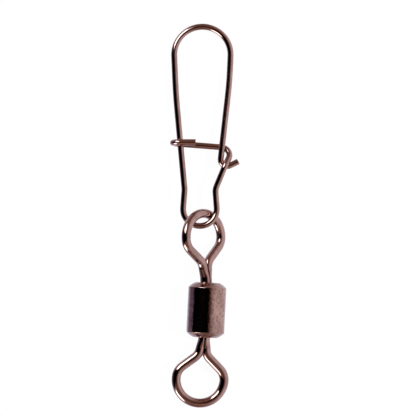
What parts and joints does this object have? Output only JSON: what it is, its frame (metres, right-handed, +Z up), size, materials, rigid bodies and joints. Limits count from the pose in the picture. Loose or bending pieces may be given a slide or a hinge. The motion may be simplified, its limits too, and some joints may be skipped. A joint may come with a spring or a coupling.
{
  "type": "fishing snap swivel",
  "caption": "Rolling swivel with a wire snap: a barrel holds two spinning wire eyes, and one eye carries a bent-wire snap with a hooked catch for a lure.",
  "frame": {"origin": "on the surface that the swivel lies on, under the middle of the whole", "axes": "+Y runs along the swivel from the line's eye to the snap, +Z is up from the surface, and +X is to the catch's side"},
  "size_m": [0.0104, 0.0576, 0.0064],
  "materials": {
    "snap_wire": "polished black nickel on spring steel wire",
    "eye_wire": "polished black nickel on steel wire",
    "barrel": "tumbled black nickel on turned brass"
  },
  "bodies": {
    "barrel": {"barrel": "barrel"},
    "upper_eye": {"upper_eye": "eye_wire"},
    "snap": {"snap_wire": "snap_wire"},
    "lower_eye": {"lower_eye": "eye_wire"}
  },
  "joints": [
    {"name": "upper_eye_spin", "type": "hinge", "parent": "barrel", "child": "upper_eye", "pos_m": [0.00035, -0.01188, 0.00285], "axis": [-0.0611, 0.9973, 0.04], "continuous": true},
    {"name": "lower_eye_spin", "type": "hinge", "parent": "barrel", "child": "lower_eye", "pos_m": [0.00015, -0.01595, 0.00285], "axis": [-0.0974, -0.9919, -0.0813], "continuous": true},
    {"name": "snap_swing", "type": "hinge", "parent": "upper_eye", "child": "snap", "pos_m": [-0.0006, 0.00021, 0.00312], "axis": [0.7202, -0.0329, -0.693], "range_deg": [-55, 130]}
  ]
}
